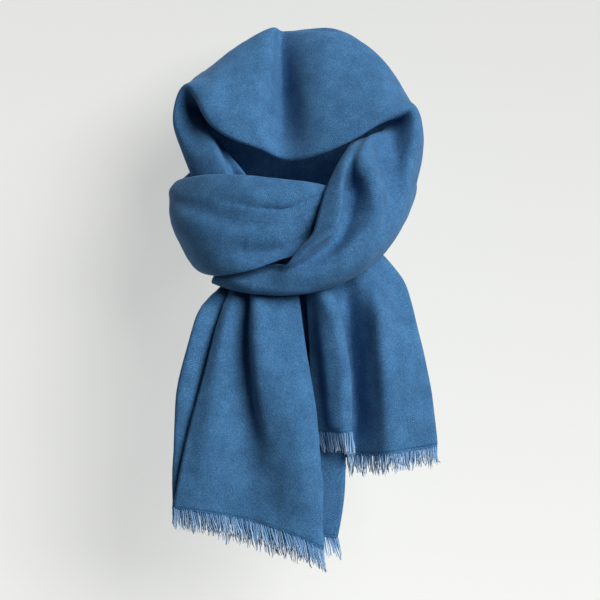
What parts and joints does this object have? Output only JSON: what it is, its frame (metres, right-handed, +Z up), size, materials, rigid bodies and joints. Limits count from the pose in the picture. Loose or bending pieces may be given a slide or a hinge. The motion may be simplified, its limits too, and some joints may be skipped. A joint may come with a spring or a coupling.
{
  "type": "oversized scarf",
  "caption": "Oversized woven scarf wound in a worn loop: a high swag behind the neck, a front crossing over the opening and frayed ends hanging in front.",
  "frame": {"origin": "the nape, on the inner face of the cloth behind the absent neck", "axes": "+X to the right as seen from in front, +Y to the back, +Z up; the ends hang in front, towards -Y"},
  "size_m": [0.3197, 0.2577, 0.6567],
  "materials": {
    "cloth": "napped twill, soft and matt",
    "yarn": "loose frayed yarn, matt"
  },
  "bodies": {
    "root": {"left_rise": "cloth", "hood_left": "cloth", "hood_middle": "cloth", "hood_right": "cloth", "right_sweep_upper": "cloth", "right_sweep_lower": "cloth", "under_band": "cloth", "cowl_right": "cloth", "cowl_left": "cloth", "left_round": "cloth", "back_wrap_left": "cloth", "back_wrap_middle": "cloth", "back_wrap_right": "cloth", "right_fall": "cloth", "tail_left": "cloth", "tail_right": "cloth", "fringe_left_front": "yarn", "fringe_left_middle": "yarn", "fringe_left_back": "yarn", "fringe_right_roll": "yarn", "fringe_right_panel": "yarn", "fringe_right_back": "yarn"}
  },
  "joints": []
}
